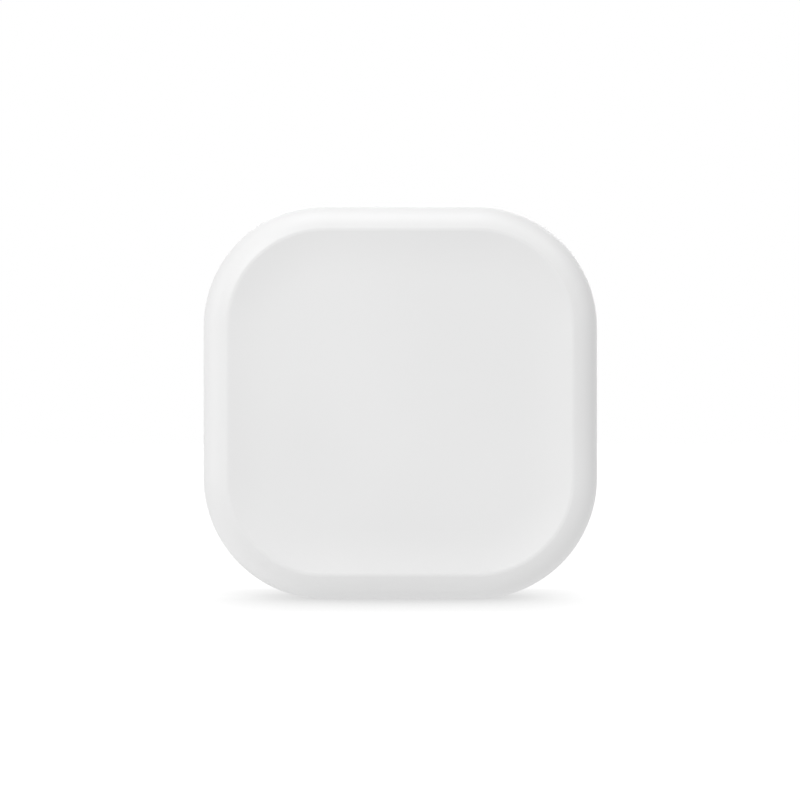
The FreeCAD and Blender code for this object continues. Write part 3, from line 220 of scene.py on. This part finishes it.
def masked_laminate(name, region_mm, track_mm, mask, mask_on_copper):
    """Solder mask over regions of copper: half are solid, and half are side-by-side tracks of this pitch."""
    epoxy_index = 1.55
    mask_step_mm = 0.035
    unevenness = 0.8
    gap_share = 0.08
    solid_above, level_above = 0.5, 0.25
    track_from, track_full = 0.44, 0.46
    edge_tilt = 0.7
    material = finish_material(name, IOR=epoxy_index, Roughness=0.28)
    here = add_node(material, "ShaderNodeTexCoord").outputs

    # Regions like those of poured copper, with a bare gap between them.
    nearest, next_nearest = (add_node(material, "ShaderNodeTexVoronoi", {
        "Vector": here["Object"], "Scale": 1 / (region_mm * MM), "Randomness": unevenness},
        distance="CHEBYCHEV", feature=rank).outputs for rank in ("F1", "F2"))
    from_gap = add_node(material, "ShaderNodeMath", {
        0: next_nearest["Distance"], 1: nearest["Distance"]}, operation="SUBTRACT")
    in_region = add_node(material, "ShaderNodeMath", {
        0: from_gap.outputs[0], 1: gap_share}, operation="GREATER_THAN")

    # A quarter of the regions have upright tracks, a quarter have level ones, and the rest are solid.
    chance = add_node(material, "ShaderNodeSeparateColor", {"Color": nearest["Color"]}).outputs["Red"]
    is_solid, is_level = (add_node(material, "ShaderNodeMath", {
        0: chance, 1: share}, operation="GREATER_THAN").outputs[0] for share in (solid_above, level_above))
    upright, level = (add_node(material, "ShaderNodeTexWave", {
        "Vector": here["Object"], "Scale": WAVE_LENGTH / (track_mm * MM)},
        bands_direction=axis).outputs["Fac"] for axis in "XZ")
    waves = add_node(material, "ShaderNodeMix", {"Factor": is_level, "A": upright, "B": level})
    tracks = add_node(material, "ShaderNodeMapRange", {
        "Value": waves.outputs["Result"], "From Min": track_from, "From Max": track_full})
    filled = add_node(material, "ShaderNodeMath", {
        0: tracks.outputs["Result"], 1: is_solid}, operation="MAXIMUM")
    copper = add_node(material, "ShaderNodeMath", {
        0: filled.outputs[0], 1: in_region.outputs[0]}, operation="MULTIPLY")

    # The sawn edge has no mask. It is wherever the surface looks neither to the front nor to the back.
    facing = add_node(material, "ShaderNodeSeparateXYZ", {"Vector": here["Normal"]})
    sawn = add_node(material, "ShaderNodeMath", {
        0: facing.outputs["Y"], 1: 0, 2: edge_tilt}, operation="COMPARE").outputs[0]
    raised = add_node(material, "ShaderNodeMath", {
        0: copper.outputs[0], 1: sawn}, operation="SUBTRACT", use_clamp=True).outputs[0]
    masked = clothe(material, raised, (mask, mask_on_copper), raised, mask_step_mm)
    board = add_node(material, "ShaderNodeMix", {
        "Factor": sawn, COLOUR_A: masked, COLOUR_B: linear("#A39C68")}, data_type="RGBA")
    feed(material, Base_Color=board.outputs[MIXED])
    return material


solder_mask = masked_laminate("green_masked_laminate", 5, 1.0, "#0C3A20", "#175030")
give(solder_mask, "power_board")


# Transformer
# A sintered ferrite core, dark and faintly speckled, round a black phenolic bobbin whose four tinned pins are
# soldered to the board. The winding is wrapped in yellow polyester tape, whose turns show as fine steps.

def tinned_part(name, coat, tinned, index=1.5, roughness=0.3, relief_mm=0.01, lumps_mm=1.5):
    """A part's coat and its tinned metal in one material. The test is 1 on the metal and 0 on the body."""
    tin_roughness = 0.3
    material = finish_material(name, IOR=index)
    metal = tinned(material)
    lumps = spots(material, lumps_mm)
    coated = clothe(material, lumps, coat, lumps, relief_mm)
    whole = add_node(material, "ShaderNodeMix", {
        "Factor": metal, COLOUR_A: coated, COLOUR_B: linear("#B9BBBE")}, data_type="RGBA")
    gloss = add_node(material, "ShaderNodeMapRange", {
        "Value": metal, "To Min": roughness, "To Max": tin_roughness})
    feed(material, Base_Color=whole.outputs[MIXED], Metallic=metal, Roughness=gloss.outputs["Result"])
    return material


def position(material, axis):
    """Where a point lies on one axis of the frame, in metres."""
    place = add_node(material, "ShaderNodeTexCoord").outputs["Object"]
    return add_node(material, "ShaderNodeSeparateXYZ", {"Vector": place}).outputs[axis]


def beyond(axis, level, side):
    """A test for what lies past a level on an axis, on the upper side (1) or the lower side (-1)."""
    seam_mm = 0.01

    def test(material):
        return add_node(material, "ShaderNodeMapRange", {
            "Value": position(material, axis), "From Min": level,
            "From Max": level + side * seam_mm * MM}).outputs["Result"]
    return test


ferrite = black_moulding("sintered_ferrite", 0.25, 0.62)
give(ferrite, "transformer_core")

on_board = beyond("Y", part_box("power_board")[0].y, 1)
phenolic = tinned_part("black_phenolic", ("#1C1C1E", "#2B2B2E"), on_board, index=1.6, roughness=0.42,
                       relief_mm=0.002, lumps_mm=0.5)
give(phenolic, "transformer_bobbin")

tape_width_mm = 2.3
tape_step_mm = 0.05
tape_wander = 0.4
polyester_tape = finish_material("yellow_polyester_tape", IOR=1.64, Roughness=0.25)
turns = add_node(polyester_tape, "ShaderNodeTexWave", {
    "Vector": add_node(polyester_tape, "ShaderNodeTexCoord").outputs["Object"],
    "Scale": WAVE_LENGTH / (tape_width_mm * MM), "Distortion": tape_wander}, bands_direction="Z",
    wave_profile="SAW").outputs["Fac"]
clothe(polyester_tape, turns, ("#D69A12", "#E8B53A"), turns, tape_step_mm)
give(polyester_tape, "transformer_winding")


# Capacitors, choke, varistor and resistor
# Wired parts on the front of the power board. The sleeves and dipped coats are glossy and the resistor's
# cement is dull. All have leads of tinned copper, which shine where they come out of the body and the board.

def ends_of(part, reach_mm):
    """A test for metal that stands out so far above and below a body, whose end faces keep their coat."""
    low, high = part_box(part)
    coat_mm = 0.02
    body_half = (high.z - low.z) / 2 - (reach_mm - coat_mm) * MM

    def test(material):
        on_body = add_node(material, "ShaderNodeMath", {
            0: position(material, "Z"), 1: (low.z + high.z) / 2, 2: body_half}, operation="COMPARE")
        return add_node(material, "ShaderNodeMath", {
            0: 1, 1: on_body.outputs[0]}, operation="SUBTRACT").outputs[0]
    return test


# How far the bent leads reach past the end of a body.
lead_reach_mm = 1.3

for capacitor in ("bulk_capacitor_1", "bulk_capacitor_2"):
    give(tinned_part(f"{capacitor}_pet_sleeve", ("#14161F", "#1B1E2A"),
                     beyond("X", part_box(capacitor)[0].x + lead_reach_mm * MM, -1)), capacitor)
give(tinned_part("smoothing_capacitor_pet_sleeve", ("#15171F", "#1D2029"),
                 beyond("Z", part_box("output_capacitor")[1].z - lead_reach_mm * MM, 1)), "output_capacitor")

give(tinned_part("blue_varistor_epoxy", ("#1D3F86", "#274F9C"), on_board), "surge_varistor")
give(tinned_part("blue_disc_epoxy", ("#2E6BB0", "#3D7CC0"), on_board), "safety_capacitor")
give(tinned_part("green_resistor_cement", ("#5F7A6C", "#6E8A7A"), ends_of("fusible_resistor", lead_reach_mm),
                 roughness=0.6), "fusible_resistor")
give(tinned_part("lacquered_copper_winding", ("#7A3417", "#9A4A22"), on_board, roughness=0.35,
                 relief_mm=0.06, lumps_mm=0.4), "input_choke")


# Chips
# Epoxy moulded chips, matt black with a slight grain. Their flat tinned legs stand out above and below the
# body and are soldered to the board. The radio chip has its contacts under it and shows none.

leg_reach_mm = 0.8
for chip in ("bridge_rectifier", "converter_chip", "output_diode", "optocoupler", "voltage_regulator"):
    give(tinned_part(f"{chip}_epoxy", ("#17171A", "#222226"), ends_of(chip, leg_reach_mm), roughness=0.55,
                     relief_mm=0.004, lumps_mm=0.3), chip)
give(black_moulding("radio_chip_epoxy", 0.3, 0.55), "radio_chip")


# Pins, spacers and barrier sheet
# Gold-flashed square pins in a black nylon base join the two boards. Tubes of milky natural nylon keep the
# boards apart, and a sheet of glossy amber polyimide film lies between the mains parts and the radio board.

gold_flash = plated_metal("gold_flash_plating", "#E3BE6B", "#D2A853", 0.22, 0.2, (1, 0.1, 1))
give(gold_flash, "header_pins")

nylon_index = 1.53
give(black_moulding("black_header_nylon", 0.5, 0.45, index=nylon_index), "header_base")

natural_nylon = finish_material("natural_nylon", IOR=nylon_index, Roughness=0.42, Subsurface_Weight=0.3,
                                Subsurface_Radius=(1.2 * MM, 1 * MM, 0.8 * MM))
clothe(natural_nylon, spots(natural_nylon, 2), ("#E6E2D5", "#DAD5C5"))
give(natural_nylon, "board_spacers")

film_wave_mm = 9
film_wave_height_mm = 0.06
polyimide = finish_material("amber_polyimide_film", IOR=1.7, Roughness=0.2)
film_waves = spots(polyimide, film_wave_mm)
clothe(polyimide, film_waves, ("#C07A17", "#A96510"), film_waves, film_wave_height_mm)
give(polyimide, "barrier_sheet")


# Radio board and module
# A second masked laminate, 1 mm thick, with the radio module soldered to its front. The module's own small
# board is darker, and carries the chip, the crystal, a tin-plated shield can and the antenna's track.

give(masked_laminate("thin_masked_laminate", 4, 0.6, "#0D3E24", "#185A34"), "radio_board")
give(masked_laminate("module_masked_laminate", 2, 0.4, "#0C2A1C", "#144029"), "radio_module_board")

tinplate = plated_metal("drawn_tinplate", "#CDD0D2", "#B5B9BC", 0.3, 0.5, (0.2, 1, 1))
give(tinplate, "shield_can", "crystal", "switch_cover")
give(gold_flash, "antenna_track")

# The chip capacitors are fired ceramic blocks, whose outer quarters are tinned. The tin reaches this far
# from the middle of the gap between two blocks.
capacitor_pitch_mm = 3
tinned_within_mm = 0.99


def block_ends(material):
    """A test for the ends of the blocks, which come at an even pitch along the row."""
    from_end = add_node(material, "ShaderNodeMath", {
        0: position(material, "X"), 1: capacitor_pitch_mm / 2 * MM}, operation="PINGPONG")
    return add_node(material, "ShaderNodeMath", {
        0: from_end.outputs[0], 1: tinned_within_mm * MM}, operation="LESS_THAN").outputs[0]


give(tinned_part("fired_ceramic", ("#8F7355", "#A38663"), block_ends, index=1.6, roughness=0.4,
                 relief_mm=0.002, lumps_mm=0.3), "chip_capacitors")


# Switch
# A side-pressed switch with a black nylon base and plunger, under a folded cover of tinplate. The round snap
# dome under the plunger is pressed from rolled spring steel. The real one flattens as the button goes in, and
# here it is drawn at rest.

switch_nylon = black_moulding("black_switch_nylon", 0.4, 0.45, index=nylon_index)
give(switch_nylon, "switch_base", "switch_plunger")

dome_low, dome_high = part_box("switch_dome")
dome_foot = (dome_low.x, (dome_low.y + dome_high.y) / 2, (dome_low.z + dome_high.z) / 2)
dome_radius = (dome_high.z - dome_low.z) / 2
dome_rise = dome_high.x - dome_low.x
dome_metal = 0.1 * MM
dome_rings = 8
dome_facets = 48
dome_rim_angle = math.radians(40)


def dome_curve(lowered, inwards):
    """Half a section of the dome as distances from its middle and heights, lowered by so much metal."""
    reach = math.sqrt(1 - lowered / dome_rise)
    shares = [reach * ring / dome_rings for ring in range(dome_rings + 1)]
    if inwards:
        shares.reverse()
    return [(share * dome_radius, dome_rise * (1 - share ** 2) - lowered) for share in shares]


pressed = bmesh.new()
section = [pressed.verts.new((dome_foot[0] + height, dome_foot[1], dome_foot[2] + out))
           for out, height in dome_curve(0, False) + dome_curve(dome_metal, True)]
strip = [pressed.edges.new(pair) for pair in zip(section, section[1:])]
bmesh.ops.spin(pressed, geom=section + strip, cent=dome_foot, axis=(1, 0, 0), angle=2 * math.pi,
               steps=dome_facets)
bmesh.ops.remove_doubles(pressed, verts=pressed.verts, dist=0.001 * MM)
bmesh.ops.recalc_face_normals(pressed, faces=pressed.faces)
dome_mesh = bpy.data.meshes.new("snap_dome")
pressed.to_mesh(dome_mesh)
pressed.free()
dome_mesh.shade_smooth()
dome_mesh.set_sharp_from_angle(angle=dome_rim_angle)
spring_steel = plated_metal("rolled_spring_steel", "#C8C9CA", "#B2B4B6", 0.22, 0.3, (1, 0.2, 1))
dome_mesh.materials.append(spring_steel)
snap_dome = bpy.data.objects.new("snap_dome", dome_mesh)
bpy.context.scene.collection.objects.link(snap_dome)
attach(snap_dome, "housing")
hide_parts("switch_dome")
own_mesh(snap_dome)


# Button
# The pill-shaped button in the right side, moulded from the housing's white ABS in a tool that is polished a
# little finer, so fingers find it smoother than the wall round it.

button_abs = white_abs("fine_grained_white_abs", grain_mm=0.15, roughness=0.38)
give(button_abs, "action_button")


# Status light and light pipe
# A small side-facing light in clear epoxy over a pale yellow phosphor, unlit. Its light pipe is a turned rod
# of milky frosted polycarbonate, whose end makes the round window in the side wall.

clear_epoxy = finish_material("pale_light_epoxy", IOR=1.55, Roughness=0.25, Subsurface_Weight=0.2,
                              Subsurface_Radius=(0.6 * MM, 0.6 * MM, 0.4 * MM))
phosphor = spots(clear_epoxy, 1.2, contrast=(0.4, 0.6))
clothe(clear_epoxy, phosphor, ("#EFEBD6", "#E8E0B8"))
give(clear_epoxy, "status_light")

frost_mm = 0.2
frost_depth_mm = 0.002
frosted_polycarbonate = finish_material("frosted_polycarbonate", IOR=1.585, Roughness=0.3,
                                        Transmission_Weight=0.25)
frost = spots(frosted_polycarbonate, frost_mm)
clothe(frosted_polycarbonate, frost, ("#DFE3E4", "#D2D7D8"), frost, frost_depth_mm)
give(frosted_polycarbonate, "light_pipe")


# Front shell
# The main moulding, with its rolled rim and dished face, in the same white ABS and grain as the rear cover.
# The place low on the dish where a name could stand is bare, and has the grain of the rest.

give(housing_abs, "front_shell")


# Floor and background
# A white floor that the device stands on, and white on all sides as far as the camera sees. The floor is lit
# from below like a product table, which keeps the device's underside pale.

def sees_background(owner):
    """1 on rays that should meet pure white: the camera's, and those seen in metal or through glass."""
    path = add_node(owner, "ShaderNodeLightPath").outputs
    either = add_node(owner, "ShaderNodeMath", {0: path["Is Camera Ray"], 1: path["Is Glossy Ray"]},
                      operation="MAXIMUM").outputs[0]
    return add_node(owner, "ShaderNodeMath", {0: either, 1: path["Is Transmission Ray"]},
                    operation="MAXIMUM").outputs[0]


world = bpy.data.worlds.new("white_studio")
world.use_nodes = True
bpy.context.scene.world = world
ambient_strength = 0.2
world_light = add_node(world, "ShaderNodeMapRange", {
    "Value": sees_background(world), "To Min": ambient_strength, "To Max": 1}).outputs["Result"]
background = world.node_tree.nodes["Background"]
background.inputs["Color"].default_value = linear("#FFFFFF")
world.node_tree.links.new(world_light, background.inputs["Strength"])

floor_half = 3
floor_level = cad_box[0].z
corners = [(-floor_half, -floor_half), (floor_half, -floor_half), (floor_half, floor_half),
           (-floor_half, floor_half)]
floor_mesh = bpy.data.meshes.new("studio_floor")
floor_mesh.from_pydata([(x, y, floor_level) for x, y in corners], [], [(0, 1, 2, 3)])
floor = bpy.data.objects.new("studio_floor", floor_mesh)
bpy.context.scene.collection.objects.link(floor)
floor_glow = 0.795
lit_floor = finish_material("back_lit_opal_floor", Base_Color=linear("#404040"), Roughness=0.9,
                            Emission_Color=linear("#FFFFFF"), Emission_Strength=floor_glow)

# The camera sees the floor as plain white, less a painted shadow. Its glow is dimmed by the share of the view
# that the device blocks, low behind and before each point and within a set distance. The dimming fades out by
# place on all sides.
shadow_reach_mm = 120
# How far the painted shadow's view leans from straight up, towards the back and the front.
painted_shadow_lean = math.radians(70)
behind_open, before_open = (add_node(lit_floor, "ShaderNodeAmbientOcclusion", {
    "Distance": shadow_reach_mm * MM, "Normal": add_node(lit_floor, "ShaderNodeCombineXYZ", {
        "Y": side * math.sin(painted_shadow_lean), "Z": math.cos(painted_shadow_lean)}).outputs["Vector"]},
    samples=8).outputs["AO"] for side in (1, -1))
open_share = add_node(lit_floor, "ShaderNodeMath", {
    0: behind_open, 1: before_open}, operation="MINIMUM")
blocked_share = add_node(lit_floor, "ShaderNodeMath", {
    0: 1, 1: open_share.outputs[0]}, operation="SUBTRACT")


def kept_near(axis, middle, near_mm, far_mm):
    """1 this near to a middle on an axis, which falls off smoothly to 0 this far from it."""
    offset = add_node(lit_floor, "ShaderNodeMath", {
        0: position(lit_floor, axis), 1: middle}, operation="SUBTRACT")
    distance = add_node(lit_floor, "ShaderNodeMath", {0: offset.outputs[0]}, operation="ABSOLUTE")
    return add_node(lit_floor, "ShaderNodeMapRange", {
        "Value": distance.outputs[0], "From Min": near_mm * MM, "From Max": far_mm * MM,
        "To Min": 1, "To Max": 0}, interpolation_type="SMOOTHSTEP").outputs["Result"]


# The painted shadow fades out by place, beside the device and before and behind it.
kept_aside = kept_near("X", 0, near_mm=12.2, far_mm=36.2)
kept_before_and_behind = kept_near("Y", cad_box[0].y, near_mm=42, far_mm=77)
kept_share = add_node(lit_floor, "ShaderNodeMath", {
    0: kept_aside, 1: kept_before_and_behind}, operation="MULTIPLY")
# The painted shadow: the blocked share, faded out by place.
floor_painted_shadow = add_node(lit_floor, "ShaderNodeMath", {
    0: blocked_share.outputs[0], 1: kept_share.outputs[0]}, operation="MULTIPLY")
white_when_open = 1.096
white_when_blocked = 0.495
whiteness = add_node(lit_floor, "ShaderNodeMapRange", {
    "Value": floor_painted_shadow.outputs[0], "To Min": white_when_open, "To Max": white_when_blocked}).outputs["Result"]
# The floor's glow as the camera sees it, with the painted shadow in it.
painted_shadow_glow = add_node(lit_floor, "ShaderNodeEmission", {
    "Color": linear("#FFFFFF"), "Strength": whiteness})
floor_mix = add_node(lit_floor, "ShaderNodeMixShader", {
    0: sees_background(lit_floor), 1: lit_floor.node_tree.nodes["Principled BSDF"].outputs["BSDF"],
    2: painted_shadow_glow.outputs["Emission"]})
lit_floor.node_tree.links.new(
    floor_mix.outputs["Shader"], lit_floor.node_tree.nodes["Material Output"].inputs["Surface"])
floor_mesh.materials.append(lit_floor)


# Lights
# Soft square lamps round the device, which are strongest from high up and from the left, so that the rim
# is brightest at the upper left and darkens towards the lower right.

def soft_light(name, place, watts, side):
    """A square area light that shines from a place at the middle of the device."""
    lamp = bpy.data.lights.new(name, "AREA")
    lamp.energy = watts
    lamp.size = side
    lamp_object = bpy.data.objects.new(name, lamp)
    lamp_object.location = place
    lamp_object.rotation_euler = (-Vector(place)).to_track_quat("-Z", "Y").to_euler()
    bpy.context.scene.collection.objects.link(lamp_object)


soft_light("high_front_softbox", (-0.05, -0.24, 0.87), 1.53, 0.35)
soft_light("left_front_softbox", (-0.4, -0.7, 0.4), 2.32, 0.3)
soft_light("left_softbox", (-0.86, -0.15, 0.2), 1.4, 0.5)
soft_light("overhead_softbox", (-0.15, -0.08, 0.9), 1.62, 0.8)
soft_light("right_softbox", (0.5, -0.4, 0.6), 1.7, 0.5)
soft_light("rear_softbox", (0.1, 0.78, 0.3), 2.4, 0.6)


# Camera
# A level camera, square to the face and far enough away to see the rim alike on all sides. Its lens makes the
# housing's outline the given number of pixels wide, at the depth where that outline lies.

camera_distance = 0.9
camera_right_mm = -0.05
camera_up_mm = 0.3
outline_depth = 23.07 * MM
outline_pixels = 393.4
frame_pixels = 800
housing_width = cad_box[1].x - cad_box[0].x
camera_data = bpy.data.cameras.new("product_camera")
camera_data.sensor_width = 36
camera_data.lens = (camera_data.sensor_width * outline_pixels / frame_pixels
                    * (camera_distance - outline_depth) / housing_width)
camera = bpy.data.objects.new("product_camera", camera_data)
camera.location = (camera_right_mm * MM, -camera_distance, camera_up_mm * MM)
camera.rotation_euler = (math.pi / 2, 0, 0)
bpy.context.scene.collection.objects.link(camera)
bpy.context.scene.camera = camera
bpy.context.scene.view_settings.view_transform = "Standard"
